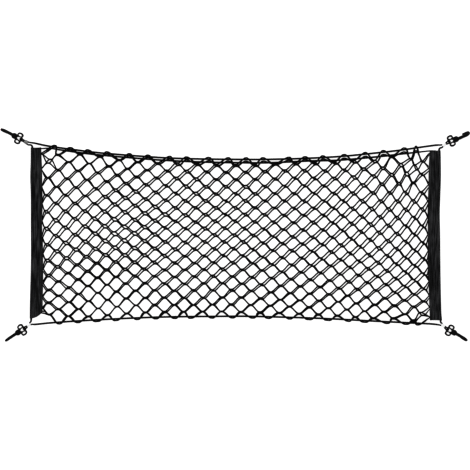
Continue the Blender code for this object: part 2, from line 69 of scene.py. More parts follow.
# Cords. A route is a list of (x, y), from left to right. Curves have CURVE_STEPS points a span.
CURVE_STEPS = 8
CLOSE_CURVE_STEPS = 12
RIM_CURVE_STEPS = 4
CORD_RADIUS = 1.65
CLEARANCE = 0.3
BRAID_SWELL = 0.2
TOP_ROUTE = [
    (-437, 200.1), (-419, 196.1), (-393, 191.7), (-349, 185.8), (-296, 179.4), (-209, 172.2), (-143, 168.0),
    (-66, 165.8), (11, 165.0), (66, 165.0), (143, 166.9), (208, 170.0), (252, 173.3), (318, 180.1),
    (362, 185.2), (399, 190.6), (419, 193.4), (440, 196.2),
]
RIM_ROUTE = [
    (-441, 187.6), (-424, 188.6), (-406, 189.3), (-384, 186.0), (-340, 179.7), (-296, 174.6), (-209, 166.9),
    (-143, 162.3), (-66, 159.0), (11, 157.7), (77, 157.7), (164, 161.6), (230, 163.4), (318, 171.3),
    (362, 176.6), (388, 179.4), (410, 181.8), (426, 183.4), (440, 183.4),
]
BOTTOM_ROUTE = [
    (-437, -196.8), (-408, -193.8), (-362, -190.4), (-296, -186.5), (-220, -182.8), (-143, -180.3),
    (-33, -179.2), (33, -179.2), (121, -181.4), (208, -184.5), (296, -189.1), (362, -192.4),
    (419, -195.2), (437, -196.5),
]
TOP_CORD_Z = 3.2
RIM_CORD_Z = 4.3
RIM_END_RADIUS = 1.05
RIM_RISE = 1.1
RIM_TAPER = 55.0
RIM_ENDS = (-428.0, 431.0)
BOTTOM_CORD_Z = 4.25
BOTTOM_CORD_LEVEL_X = 410.0
BOTTOM_CORD_SETTLE = 30.0
EDGE_CORD_STEP = 1.32
RIM_CORD_STEP = 2.2
CORD_SIDES = 12

# Netting: joints at the odd places of a lattice of columns and rows. Row -12 lies on a top cord and row 11
# under the bottom cord. Each row of yarn zigzags between two rows of joints.
LAYERS = (
    # piece, whether it is the front layer, seed of its random draws
    ("net_back", False, 5),
    ("net_front", True, 11),
)
FIRST_COLUMN, LAST_COLUMN = -20, 21
TOP_ROW, BOTTOM_ROW = -12, 11
YARN_RADIUS = 1.32
JOINT_SWELL = 0.16
SELVEDGE_SWELL = 0.45
SELVEDGE_MIDDLE = 5.0
SELVEDGE_REACH = 7.0
YARN_SIDES = 8
YARN_END_X = 438.0
YARN_END_GAP = 2.0
JOINT_SHARE = 0.092
TOP_LOOP, BOTTOM_LOOP = 3.9, 4.8
OTHER_LOOPS = {(19, -12): 2.2, (-14, 11): 6.8, (-12, 11): 6.0, (8, 11): 7.2, (10, 11): 7.6, (14, 11): 6.8}
JOINT_UNEVEN = (0.9, 1.12)
JOINT_TWIST_RADIUS = 0.6
JOINT_POINTS = 7
LEG_POINTS = 3
ROUNDING_PASSES = 2
WANDER = 1.6
WANDER_RATE = 0.37
WANDER_SEEDS = (1.9, 7.3)
NOISE_SEED = 52
JITTER = 0.3
TURN_JITTER = 0.06
BACK_Z = 1.4
FRONT_Z = 3.9
WRAP = CORD_RADIUS + CLEARANCE + YARN_RADIUS * (1 + JOINT_SWELL)
SETTLE_LENGTH = 9.0
FRONT_RISE, BACK_RISE = 0.1, 0.8
RISE_LENGTH = 14.0
INNER_EDGES = (-421.0, 424.0)
IN_BAND = 2.5
PRESSED_FROM = 420.0
PRESSED_LENGTH = 5.0
PRESSED_SHARE = 0.3
IN_BAND_Y = {"left": (-160.0, 180.0), "right": (-181.0, 179.0)}
KNOWN_ROWS = (-12, -6, 0, 6, 11)
LATTICE = [
    # column, then the (x, y) of the middle between the two layers at each of the KNOWN_ROWS
    (-20, (-430, 202), (-434, 87), (-434, -25), (-431, -123), (-434, -188)),
    (-15, (-315, 191), (-328, 85), (-328, -15), (-322, -113), (-322, -196)),
    (-10, (-212, 174), (-218, 79), (-220, -14), (-219, -107), (-216, -187)),
    (-5, (-103, 171), (-108, 74), (-109, -17), (-111, -108), (-113, -185)),
    (0, (2, 167), (2, 74), (-2, -16), (-6, -107), (-9, -184)),
    (5, (110, 172), (109, 74), (105, -20), (101, -112), (96, -187)),
    (10, (220, 174), (217, 74), (213, -22), (207, -116), (203, -191)),
    (13, (285, 180), (280, 73), (275, -27), (269, -120), (262, -196)),
    (15, (328, 185), (321, 73), (316, -30), (310, -123), (301, -199)),
    (21, (421, 179), (429, 73), (434, -37), (435, -135), (436, -195)),
]
LAYER_SHIFT = [
    # column, then how far the front layer lies (to the right of, below) the back one at the KNOWN_ROWS
    (-20, (2, 0), (4, 3), (3, 5), (-2.5, 4), (-3, 2)),
    (-15, (0, 0), (3.5, 4), (3, 6.5), (-1, 2), (-1, -1)),
    (-10, (1.5, 1.5), (3.5, 6), (3.5, 7.5), (2, 3), (1, 0)),
    (-5, (2, 5), (4, 5), (4.5, 4), (3.5, 2.5), (1.5, 1.5)),
    (0, (1, 3.5), (4, 4.5), (4.5, 4.5), (3.5, 3), (0.5, 0.5)),
    (5, (3.5, 3.5), (4, 4), (4.5, 4), (3, 2.5), (0.5, 1)),
    (10, (4.5, 5.5), (5, 5), (5, 4.5), (2.5, 2.5), (0, 0)),
    (15, (5, 6.5), (4, 6), (5, 5.5), (3, 3), (-1, 0)),
    (21, (4, 6), (4, 6), (5.5, 5), (5, 4.5), (1, 3)),
]
# Joints near the corners, pulled out of the lattice's order.
PULLED = {
    # (column, row): the back joint's (x, y), then the front one's. First top left.
    (-20, -11): ((-425, 179), (-423, 176)),
    (-19, -10): ((-410, 157), (-405, 165)),
    (-18, -11): ((-389, 176), (-390, 174)),
    # top right
    (13, -10): ((282, 146), (283, 141)),
    (14, -11): ((306, 163), (309, 158)),
    (15, -10): ((324, 148), (325, 143)),
    (15, -8): ((322, 113), (323, 108)),
    (16, -11): ((344, 172), (343, 170)),
    (16, -9): ((344, 134), (344, 128)),
    (17, -10): ((364, 156), (365, 149)),
    (17, -8): ((360, 114), (360, 109)),
    (18, -11): ((385, 167), (387, 164)),
    (18, -9): ((377, 137), (377, 129)),
    (19, -10): ((394, 153), (399, 142)),
    (19, -8): ((391, 115), (391, 112)),
    (20, -11): ((410, 161), (413, 159)),
    (20, -9): ((408, 134), (412, 130)),
    # bottom right
    (18, 9): ((372, -174), (374, -175)),
    (19, 10): ((391, -188), (393, -190)),
    (20, 9): ((407, -171), (412, -177)),
    # bottom left
    (-20, 9): ((-424, -160), (-422, -162)),
    (-20, 11): ((-424, -172), (-421, -168)),
    (-19, 10): ((-409, -175), (-406, -176)),
}
# Where the meshes turn round the top cords, in columns -19 to 19, and round the bottom cord, -18 to 20.
TOP_TURNS = (
    -395, -361, -322, -280, -231, -191, -144, -106, -57, -15, 24, 61, 118, 154, 193, 239, 285, 325, 372, 397,
)
BOTTOM_TURNS = (
    -386, -345, -303, -261, -214, -174, -132, -97, -51, -6, 39, 72, 120, 162, 203, 248, 283, 334, 375, 401,
)

# Bands: folded strips, a row for each station from top to bottom.
BAND_THICKNESS = 1.0
BAND_HEIGHT = 7.6
BAND_EDGE_HEIGHT = 6.4
BAND_STEP = 3.0
BAND_END_DIP = 0.8
BAND_END_FADE = 8.0
BAND_CORNER = 2.4
BAND_SLOPE = 1.2
# The inner edge's waves: their number, the least and most of their rate and of their size.
BAND_WAVES = (5, (0.02, 0.09), (0.1, 0.25))
# The upper leaf's dips: depth, rate along the band, and how far each band's dips are shifted.
BAND_DIPS = (0.35, 0.05, 0.4)
STITCH_COLUMNS = (-2, -4)
STITCH_STEP = 1.0
STITCH_START = 2
STITCH_SIDES = 6
STITCH_HEIGHTS = (-0.3, 0.12, 0.12, -0.3)
STITCH_RADIUS = 0.28
BAND_ARC_POINTS = 14
BAND_LEAF_POINTS = 12
CORD_PAST_BAND = 2.0
CORD_EASE = 0.05
BAND_LEFT = [
    # y at the fold, x at the fold, x at the inner edge, y at the inner edge
    (191.3, -447.9, -425.4, 191.3),
    (165.0, -448.1, -424.8, 165.0),
    (125.0, -448.9, -423.5, 125.0),
    (85.0, -447.8, -422.7, 85.0),
    (20.0, -447.6, -423.2, 20.0),
    (-40.0, -447.4, -421.4, -40.0),
    (-90.0, -448.2, -421.3, -90.0),
    (-150.0, -449.8, -422.4, -145.0),
    (-184.1, -450.1, -422.9, -170.0),
]
BAND_RIGHT = [
    (184.7, 450.5, 427.0, 184.7),
    (165.0, 451.0, 426.2, 165.0),
    (125.0, 451.3, 425.0, 125.0),
    (85.0, 450.0, 424.0, 85.0),
    (45.0, 448.8, 422.4, 45.0),
    (0.0, 449.6, 423.0, 0.0),
    (-90.0, 450.5, 423.9, -90.0),
    (-165.0, 452.2, 426.8, -165.0),
    (-188.3, 453.8, 427.0, -187.8),
]

# Corners: where each hook's yoke ends, and which way the hook and the sleeve point.
CORNERS = {
    # name: (x, y, hook's and sleeve's directions in degrees, side of the axis of the top or bottom run)
    "top_left": (-468.0, 209.1, 151.9, 151.9, -1),
    "top_right": (467.4, 202.7, 26.5, 29.5, 1),
    "bottom_right": (464.1, -206.2, -29.4, -37.0, -1),
    "bottom_left": (-461.1, -205.4, 213.1, 217.5, 1),
}
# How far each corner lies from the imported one, as (x, y), and how much further its hook is turned.
NUDGE = {
    "top_left": (-0.8, -0.7, 0.0),
    "top_right": (1.2, 0.2, -4.0),
    "bottom_right": (1.4, -0.6, 0.0),
    "bottom_left": (-0.6, 0.0, 0.0),
}
CRIMP_FROM = -15.5
CRIMP_TO = -7.0
PAST_CRIMP = 1.2
CRIMP_Z = 2.4
CRIMP_WALL = 0.6
CRIMP_FLARE = 1.1
CRIMP_GROOVE = 0.35
CRIMP_GROOVES = 3
CRIMP_END = (0.25, 8)
CRIMP_ROWS = 16
CRIMP_SIDES = 24
# The sleeve that gets the darker copy of the steel: painted shade on that one sleeve, the metal is the same
# as the others'.
SHADED_SLEEVE = "top_left"
LEG_OFFSET = 1.5
LEG_RADIUS = 1.3
SPREAD_LENGTH = 1.6
SPREAD_OFFSET = 3.1
LOOP_EASE = 0.17

# Hooks, in their own frame: x along the hook from the yoke's end, z up. Each one has rolled over a little.
PLATE_BOTTOM = 3.8
PLATE_TOP = 6.2
YOKE_END = -1.2
YOKE_BAR = 0.8
BOSS_CENTRE = 17.3
BOSS_FOOT = 5.2
BOSS_RING = (3.6, 0.45, 0.5)
BOSS_DIMPLE = (0.0, 0.9, 0.6)
HOOK_VOXEL = 0.4
HOOK_SMOOTHING = 3
PLATE_SWELL = (0.75, 24.0, 3.0)
# The plate's places beside its axis, in the CAD and here, and its ears, which are a little longer here.
EAR_PLACES = ((0.0, 4.1, 6.2, 10.0, 12.5), (0.0, 3.4, 5.0, 10.4, 13.0))
EAR_MIDDLE = (6.1, 8.1)
EAR_STRETCH = 0.13
EAR_FADE = (9.5, 12.5)
EAR_FROM = 3.0
EAR_EASE = 3.0
HOLE_ZONE = (5.0, 3.2)
HOLE_EDGE = (1.15, 0.3)
HOLE_SWELL = 0.1
ROLL_HEIGHT = 4.0
ROLL_FADE = (-7.0, -1.0)
HOOK_ROLL = {"top_left": -6.0, "top_right": -19.0, "bottom_right": 8.0, "bottom_left": -4.0}

# Materials: lengths in millimetres, and each one's darkest and lightest grey.
PLY_COUNT, PLY_LENGTH = 3.0, 5.5
# From painted shade in the ply grooves to painted highlight on the ridges, with a random tone from the fuzz.
YARN_GREYS = ((0.005, 0.005, 0.0055), (0.020, 0.020, 0.021))
BRAID_COUNT, BRAID_LENGTH = 6.0, 2.4
# From painted shade in the braid's hollows to painted highlight on its crossings, with a random tone from the
# fuzz.
BRAID_GREYS = ((0.005, 0.005, 0.0055), (0.017, 0.017, 0.018))
RIB_WIDTH, TWILL_LENGTH = 1.5, 1.1
# Mostly the strip's own uneven tone, with a little painted shade and highlight from the twill.
WEBBING_GREYS = ((0.016, 0.016, 0.0168), (0.155, 0.155, 0.160))
THREAD_COUNT, THREAD_LENGTH = 2.0, 1.2
# From painted shade in the thread's ply grooves to painted highlight on its ridges.
THREAD_GREYS = ((0.012, 0.012, 0.0125), (0.07, 0.07, 0.072))
PLASTIC_GREYS = ((0.008, 0.008, 0.0086), (0.020, 0.020, 0.021))
STEEL_GREYS = ((0.82,) * 3, (0.97,) * 3)
# The same steel made darker, for one sleeve only: painted shade.
SHADED_STEEL_GREYS = ((0.12,) * 3, (0.4,) * 3)


def smooth_curve(points, steps):
    """Points along the Catmull-Rom curve through these, with so many steps a span."""
    p = np.array(points, float)
    p = np.vstack([2 * p[0] - p[1], p, 2 * p[-1] - p[-2]])
    found = []
    for a, b, c, d in zip(p[:-3], p[1:-2], p[2:-1], p[3:]):
        for k in range(steps):
            t = k / steps
            square = 2 * a - 5 * b + 4 * c - d
            cube = 3 * b - a - 3 * c + d
            found.append(0.5 * (2 * b + (c - a) * t + square * t**2 + cube * t**3))
    found.append(p[-2])
    return np.array(found)


@functools.cache
def curve_of(route):
    return smooth_curve(route, CURVE_STEPS)


def height_on(route, x):
    """The route's y at this x."""
    curve = curve_of(tuple(route))
    return float(np.interp(x, curve[:, 0], curve[:, 1]))


def evenly(points, step):
    """The same line with its points this far apart. Every coordinate counts in the interpolation."""
    points = np.asarray(points, float)
    lengths = np.linalg.norm(np.diff(points[:, :3], axis=0), axis=1)
    at = np.concatenate([[0.0], np.cumsum(lengths)])
    places = np.linspace(0.0, at[-1], max(2, round(at[-1] / step) + 1))
    return np.stack([np.interp(places, at, column) for column in points.T], axis=1)


def eased(t):
    t = min(max(t, 0.0), 1.0)
    return t * t * (3 - 2 * t)


def rounded(points, passes):
    """The line with its corners rounded, ends held."""
    points = np.array(points, float)
    for _ in range(passes):
        points[1:-1] = (points[:-2] + 2 * points[1:-1] + points[2:]) / 4
    return points


def make_camera():
    data = bpy.data.cameras.new("camera")
    data.lens = data.sensor_width * CAMERA_HEIGHT / VIEW_WIDTH
    camera = bpy.data.objects.new("camera", data)
    camera.location = (*VIEW_CENTRE, CAMERA_HEIGHT)
    bpy.context.scene.collection.objects.link(camera)
    bpy.context.scene.camera = camera


# Materials


class Nodes:
    """A short way to write a material's nodes: each call adds one node and returns its first output."""

    def __init__(self, name, roughness, metallic=0.0, specular=0.5):
        self.material = bpy.data.materials.new(name)
        self.material.use_nodes = True
        self.tree = self.material.node_tree
        self.shader = self.tree.nodes["Principled BSDF"]
        self.set(self.shader, "Roughness", roughness)
        self.set(self.shader, "Metallic", metallic)
        self.set(self.shader, "Specular IOR Level", specular)

    def set(self, node, socket, value):
        target = node.inputs[socket]
        if isinstance(value, bpy.types.NodeSocket):
            self.tree.links.new(value, target)
        else:
            target.default_value = value

    def add(self, kind, output=0, settings=None, **inputs):
        node = self.tree.nodes.new(kind)
        for key, value in (settings or {}).items():
            setattr(node, key, value)
        for socket, value in inputs.items():
            self.set(node, int(socket[1:]) if socket[1:].isdigit() else socket, value)
        return node.outputs[output]

    def math(self, operation, a, b=0.0):
        return self.add("ShaderNodeMath", settings={"operation": operation}, _0=a, _1=b)

    def uv(self):
        """The two coordinates of the mesh's own map."""
        split = self.tree.nodes.new("ShaderNodeSeparateXYZ")
        self.set(split, 0, self.add("ShaderNodeUVMap", settings={"uv_map": "map"}))
        return split.outputs[0], split.outputs[1]

    def stretched_noise(self, stretch, scale, detail):
        place = self.add("ShaderNodeTexCoord", output="Object")
        mapped = self.add("ShaderNodeMapping", Vector=place, Scale=stretch)
        return self.add("ShaderNodeTexNoise", Vector=mapped, Scale=scale, Detail=detail)

    def between(self, factor, low, high):
        """A colour between two greys or colours."""
        ramp = self.tree.nodes.new("ShaderNodeValToRGB")
        ramp.color_ramp.elements[0].color = (*low, 1.0)
        ramp.color_ramp.elements[1].color = (*high, 1.0)
        self.set(ramp, 0, factor)
        return ramp.outputs[0]

    def finish(self, colour, height, distance, strength=1.0):
        self.set(self.shader, "Base Color", colour)
        bump = self.add("ShaderNodeBump", Strength=strength, Distance=distance, Height=height)
        self.set(self.shader, "Normal", bump)
        return self.material


def twisted(n, round_it, along, count, length):
    """The height of so many plies laid round each other, each one turning once in count times the length."""
    phase = n.math("ADD", n.math("MULTIPLY", round_it, count), n.math("MULTIPLY", along, 1 / length))
    return n.math("ABSOLUTE", n.math("SINE", n.math("MULTIPLY", phase, math.pi)))


def yarn_material():
    """Soft black yarn of three twisted plies. The map runs round the yarn and along it in millimetres."""
    n = Nodes("yarn", 0.8, specular=0.12)
    round_it, along = n.uv()
    plies = twisted(n, round_it, along, PLY_COUNT, PLY_LENGTH)
    fuzz = n.stretched_noise((1.0, 1.0, 1.0), 2600.0, 3.0)
    height = n.math("ADD", plies, n.math("MULTIPLY", fuzz, 0.45))
    # The colour follows the plies' height: painted shade in the grooves between the plies, painted highlight
    # on their ridges; the fuzz adds a real random tone.
    colour = n.between(n.math("MULTIPLY", height, 0.7), *YARN_GREYS)
    return n.finish(colour, height, 0.0003, 0.8)


def braid_material():
    """A tight braided cover: two sets of bands that cross round the cord."""
    n = Nodes("braid", 0.7, specular=0.15)
    round_it, along = n.uv()
    turns = n.math("MULTIPLY", round_it, BRAID_COUNT)
    steps = n.math("MULTIPLY", along, 1 / BRAID_LENGTH)
    left = n.math("SINE", n.math("MULTIPLY", n.math("ADD", turns, steps), 2 * math.pi))
    right = n.math("SINE", n.math("MULTIPLY", n.math("SUBTRACT", turns, steps), 2 * math.pi))
    weave = n.math("MAXIMUM", left, right)
    fuzz = n.stretched_noise((1.0, 1.0, 1.0), 3000.0, 2.0)
    height = n.math("ADD", weave, n.math("MULTIPLY", fuzz, 0.5))
    # The colour follows the weave's height: painted shade in the hollows between the bands, painted highlight
    # where they cross; the fuzz adds a real random tone.
    return n.finish(n.between(height, *BRAID_GREYS), height, 0.00022, 0.8)


def webbing_material():
    """A close twill. The map runs across the strip and along it, both in millimetres."""
    n = Nodes("webbing", 0.85, specular=0.2)
    over, along = n.uv()
    rib = n.math("SINE", n.math("MULTIPLY", over, 2 * math.pi / RIB_WIDTH))
    across_ribs = n.math("MULTIPLY", over, 1 / RIB_WIDTH)
    slant = n.math("ADD", across_ribs, n.math("MULTIPLY", along, 1 / TWILL_LENGTH))
    twill = n.math("SINE", n.math("MULTIPLY", slant, 2 * math.pi))
    weave = n.math("ADD", n.math("MULTIPLY", rib, 0.5), n.math("MULTIPLY", twill, 0.5))
    streaks = n.stretched_noise((1.0, 0.06, 1.0), 420.0, 3.0)
    cloudy = n.stretched_noise((1.0, 0.5, 1.0), 60.0, 2.0)
    # The weave's share of the tone is painted shade in the twill's grooves and painted highlight on its ribs;
    # the streaks and clouds are the strip's own uneven tone.
    tone = n.math("ADD", n.math("MULTIPLY", streaks, 0.8), n.math("MULTIPLY", weave, 0.12))
    tone = n.math("ADD", tone, n.math("MULTIPLY", cloudy, 0.35))
    tone = n.math("MULTIPLY", n.math("SUBTRACT", tone, 0.48), 3.0)
    return n.finish(n.between(tone, *WEBBING_GREYS), weave, 0.0003, 0.7)


def thread_material():
    n = Nodes("thread", 0.6, specular=0.25)
    round_it, along = n.uv()
    plies = twisted(n, round_it, along, THREAD_COUNT, THREAD_LENGTH)
    # The colour follows the plies' height: painted shade in the grooves, painted highlight on the ridges.
    return n.finish(n.between(plies, *THREAD_GREYS), plies, 0.0001)


def plastic_material():
    """Black moulded plastic with a fine grain, a little rougher in patches."""
    n = Nodes("plastic", 0.4, specular=0.22)
    grain = n.stretched_noise((1.0, 1.0, 1.0), 1800.0, 2.0)
    patches = n.stretched_noise((1.0, 1.0, 1.0), 90.0, 3.0)
    worn = n.add("ShaderNodeMapRange", _0=patches, _1=0.3, _2=0.7, _3=0.32, _4=0.5)
    n.set(n.shader, "Roughness", worn)
    return n.finish(n.between(patches, *PLASTIC_GREYS), grain, 0.00004, 0.5)


def steel_material(name, greys):
    """Drawn metal with fine lines along the sleeve, between these two greys."""
    n = Nodes(name, 0.25, metallic=1.0)
    lines = n.stretched_noise((0.3, 1.0, 1.0), 1500.0, 3.0)
    n.set(n.shader, "Roughness", n.add("ShaderNodeMapRange", _0=lines, _1=0.2, _2=0.8, _3=0.18, _4=0.38))
    return n.finish(n.between(lines, *greys), lines, 0.00003, 0.5)


# Meshes


def tube_frames(points, closed):
    """Two unit normals at each point, turned as little as possible along the line."""
    if closed:
        ahead, behind = np.roll(points, -1, axis=0), np.roll(points, 1, axis=0)
    else:
        ahead = np.vstack([points[1:], 2 * points[-1] - points[-2]])
        behind = np.vstack([2 * points[0] - points[1], points[:-1]])
    tangents = ahead - behind
    tangents /= np.linalg.norm(tangents, axis=1)[:, None]
    normal = UP - tangents[0] * (UP @ tangents[0])
    normals = []
    for tangent in tangents:
        normal = normal - tangent * (normal @ tangent)
        normal = normal / np.linalg.norm(normal)
        normals.append(normal)
    normals = np.array(normals)
    return normals, np.cross(tangents, normals)


def tube_mesh(name, lines, sides):
    """One mesh of round tubes. Each line is (points, radii, closed), in millimetres."""
    verts, faces, maps = [], [], []
    total = 0
    angles = np.arange(sides) * 2 * math.pi / sides
    for points, radii, closed in lines:
        points = np.asarray(points, float)
        count = len(points)
        radii = np.broadcast_to(np.asarray(radii, float), (count,))
        first, second = tube_frames(points, closed)
        ring = np.cos(angles)[:, None] * first[:, None] + np.sin(angles)[:, None] * second[:, None]
        verts.append((points[:, None] + ring * radii[:, None, None]).reshape(-1, 3))
        along = np.concatenate([[0.0], np.cumsum(np.linalg.norm(np.diff(points, axis=0), axis=1))])
        spans = count if closed else count - 1
        for i in range(spans):
            here, there = total + i * sides, total + (i + 1) % count * sides
            low = along[i]
            high = along[i + 1] if i + 1 < count else along[i] + np.linalg.norm(points[0] - points[i])
            for j in range(sides):
                k = (j + 1) % sides
                faces.append((here + j, here + k, there + k, there + j))
                maps += [(j / sides, low), ((j + 1) / sides, low), ((j + 1) / sides, high), (j / sides, high)]
        if not closed:
            faces.append(tuple(total + j for j in reversed(range(sides))))
            faces.append(tuple(total + (count - 1) * sides + j for j in range(sides)))
            maps += [(0.0, 0.0)] * sides + [(0.0, along[-1])] * sides
        total += count * sides
    return mapped_mesh(name, np.vstack(verts), faces, maps)


def mapped_mesh(name, verts, faces, maps):
    """A smooth mesh in metres from points in millimetres, with its own map."""
    mesh = bpy.data.meshes.new(name)
    mesh.from_pydata((np.asarray(verts) * MM).tolist(), [], faces)
    layer = mesh.uv_layers.new(name="map")
    layer.data.foreach_set("uv", np.array(maps, np.float32).ravel())
    mesh.shade_smooth()
    return mesh


def face_outwards(mesh):
    solid = bmesh.new()
    solid.from_mesh(mesh)
    bmesh.ops.recalc_face_normals(solid, faces=solid.faces[:])
    solid.to_mesh(mesh)
    solid.free()


def add_piece(name, mesh, material, slot, *nodes):
    """A visible piece, riding on the part's one body, that stands for these nodes."""
    piece = bpy.data.objects.new(name, mesh)
    bpy.context.scene.collection.objects.link(piece)
    mesh.materials.clear()
    mesh.materials.append(material)
    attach(piece, "root")
    if nodes:
        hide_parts(*nodes)
    return piece


# Netting


def through(rows, places):
    """The values at these places on the smooth curves through the rows, which start with their own place."""
    curve = smooth_curve(rows, CURVE_STEPS)
    return np.stack([np.interp(places, curve[:, 0], column) for column in curve.T[1:]], axis=-1)


def stretched(table, known_rows):
    """A table of (x, y) by column and row, filled in for the whole lattice."""
    columns = np.arange(FIRST_COLUMN, LAST_COLUMN + 1)
    rows = np.arange(TOP_ROW, BOTTOM_ROW + 1)
    flat = [(row[0], *(value for pair in row[1:] for value in pair)) for row in table]
    found = {}
    for column, values in zip(columns, through(flat, columns)):
        pairs = np.column_stack([known_rows, values.reshape(-1, 2)])
        for row, pair in zip(rows, through(pairs, rows)):
            found[int(column), int(row)] = pair
    return found


def on_its_cord(front, column, row, place):
    """A place of the lattice, moved onto the cord that its mesh turns round, or into its band."""
    x, y = place
    upper, rim = (RIM_ROUTE, RIM_ROUTE) if front else (TOP_ROUTE, RIM_ROUTE)
    if column in (FIRST_COLUMN, LAST_COLUMN):
        side, stations = ("left", BAND_LEFT) if x < 0 else ("right", BAND_RIGHT)
        lowest, highest = IN_BAND_Y[side]
        y = min(max(y, lowest), highest)
        edge = np.interp(-y, [-row[0] for row in stations], [row[2] for row in stations])
        return edge + math.copysign(IN_BAND, x), y
    if row == TOP_ROW:
        x = TOP_TURNS[(column + 19) // 2]
        return x, height_on(upper, x) + WRAP
    if row == BOTTOM_ROW:
        x = BOTTOM_TURNS[(column + 18) // 2]
        return x, height_on(BOTTOM_ROUTE, x) - WRAP
    return x, min(max(y, height_on(BOTTOM_ROUTE, x) + WRAP), height_on(rim, x) - WRAP)


def joints_of(front, rng):
    """Each joint's centre, its angle and its half length."""
    places = stretched(LATTICE, KNOWN_ROWS)
    shifts = stretched(LAYER_SHIFT, KNOWN_ROWS)
    side = 0.5 if front else -0.5
    found = {}
    for (column, row), place in places.items():
        if (column + row) % 2 == 0:
            continue
        wander = noise.noise_vector((column * WANDER_RATE, row * WANDER_RATE, WANDER_SEEDS[front]))
        jitter = (rng.gauss(0, JITTER), rng.gauss(0, JITTER))
        right, below = shifts[column, row]
        moved = place + (side * right, -side * below) + WANDER * np.array(wander[:2]) + jitter
        if (column, row) in PULLED:
            centre = np.array(PULLED[column, row][front], float)
        else:
            centre = np.array(on_its_cord(front, column, row, moved))
        left = places.get((column - 1, row), place)
        slope = places.get((column + 1, row), place) - left
        angle = math.atan2(slope[1], slope[0]) + rng.gauss(0, TURN_JITTER)
        usual = {TOP_ROW: TOP_LOOP, BOTTOM_ROW: BOTTOM_LOOP}.get(row, JOINT_SHARE * math.hypot(*slope))
        half = OTHER_LOOPS.get((column, row), usual)
        found[column, row] = centre, angle, half * rng.uniform(*JOINT_UNEVEN)
    return found


def layer_height(front, x):
    """The yarn's height in the open, and where a band lifts it."""
    left, right = INNER_EDGES
    near = max(0.0, min(x - left, right - x))
    height, rise = (FRONT_Z, FRONT_RISE) if front else (BACK_Z, BACK_RISE)
    return height + rise * eased(1 - near / RISE_LENGTH)


def over_cord(distance, cord_z, base, side, reach):
    """The yarn's height this far past a cord's middle: side 1 passes over it and -1 under it."""
    if distance > 0:
        return cord_z + side * math.sqrt(max(0.0, reach**2 - distance**2))
    return base + (cord_z + side * reach - base) * (1 - eased(-distance / SETTLE_LENGTH))


def rim_rise(x):
    """How far the rim cord has gone from its full height to its sewn end: 0 to 1."""
    left, right = RIM_ENDS
    return min(1.0, max(0.0, 1 - min(x - left, right - x) / RIM_TAPER))


def yarn_height(front, zigzag, x, y, side):
    """The height of a point of one zigzag. The side says whether this leg passes over or under a cord."""
    base = layer_height(front, x)
    past_bottom = height_on(BOTTOM_ROUTE, x) - y
    if zigzag == BOTTOM_ROW - 1 and past_bottom > -SETTLE_LENGTH:
        return over_cord(past_bottom, BOTTOM_CORD_Z, base, 1 if front else -1, WRAP)
    if zigzag != TOP_ROW:
        return base
    past_top = y - height_on(TOP_ROUTE, x)
    if not front:
        return over_cord(past_top, TOP_CORD_Z, base, side, WRAP)
    rim_z = RIM_CORD_Z + RIM_RISE * rim_rise(x)
    height = over_cord(y - height_on(RIM_ROUTE, x), rim_z, base, side, WRAP)
    if abs(past_top) < WRAP:
        height = max(height, TOP_CORD_Z + math.sqrt(WRAP**2 - past_top**2))
    return height


def yarn_radius(front, x, y, in_joint):
    """The yarn is thicker in the joints and in the outermost meshes, and pressed thinner inside the bands."""
    from_top = height_on(RIM_ROUTE if front else TOP_ROUTE, x) - y
    from_bottom = y - height_on(BOTTOM_ROUTE, x)
    near = eased(1 - abs(min(from_top, from_bottom) - SELVEDGE_MIDDLE) / SELVEDGE_REACH)
    pressed = PRESSED_SHARE * eased((abs(x) - PRESSED_FROM) / PRESSED_LENGTH)
    return YARN_RADIUS * (1 + SELVEDGE_SWELL * near) * (1 + JOINT_SWELL * in_joint) * (1 - pressed)


def zigzag_line(front, zigzag, joints):
    """One row of yarn from band to band, as (x, y, z, radius).

    It goes along the joints above and below it by turns.
    """
    places, turns, legs, inside = [], [], [], []
    for column in range(FIRST_COLUMN, LAST_COLUMN + 1):
        upper_turn = (column + zigzag) % 2 == 1
        row = zigzag if upper_turn else zigzag + 1
        centre, angle, half = joints[column, row]
        direction = np.array((math.cos(angle), math.sin(angle)))
        normal = np.array((-direction[1], direction[0]))
        shared = row not in (TOP_ROW, BOTTOM_ROW)
        for k in range(JOINT_POINTS):
            s = k / (JOINT_POINTS - 1)
            turn = 2 * math.pi * s
            reach = JOINT_TWIST_RADIUS * (-1 if upper_turn else 1) * shared
            places.append(centre + direction * half * (2 * s - 1))
            turns.append((*(normal * reach * math.cos(turn)), reach * math.sin(turn)))
            legs.append(-1 if upper_turn == (s < 0.5) else 1)
            inside.append((1.0,))
        if column == LAST_COLUMN:
            break
        for _ in range(LEG_POINTS):
            places.append(None)
            turns.append((0.0, 0.0, 0.0))
            legs.append(1 if upper_turn else -1)
            inside.append((0.0,))
    spread_legs(places)
    places = rounded(places, ROUNDING_PASSES)
    turns = rounded(turns, 1)
    inside = rounded(inside, 1)[:, 0]
    points = []
    for (x, y), (dx, dy, dz), side, in_joint in zip(places, turns, legs, inside):
        z = yarn_height(front, zigzag, x, y, side if front else -side) + dz
        points.append((x + dx, y + dy, z, yarn_radius(front, x, y, in_joint)))
    points = np.array(points)
    ends = [points[k] * (0, 1, 1, 1) + (side * YARN_END_X, 0, 0, 0) for k, side in ((0, -1), (-1, 1))]
    points = points[np.abs(points[:, 0]) < YARN_END_X - YARN_END_GAP]
    points = np.vstack([ends[0], points, ends[1]])
    points[:, 2] = np.maximum(rounded(points[:, 2:3], 2)[:, 0], points[:, 3])
    return points


def spread_legs(places):
    """Fills the empty places between two joints with even steps."""
    k = 0
    while k < len(places):
        if places[k] is not None:
            k += 1
            continue
        start, end = places[k - 1], places[k + LEG_POINTS]
        for step in range(LEG_POINTS):
            places[k + step] = start + (end - start) * (step + 1) / (LEG_POINTS + 1)
        k += LEG_POINTS


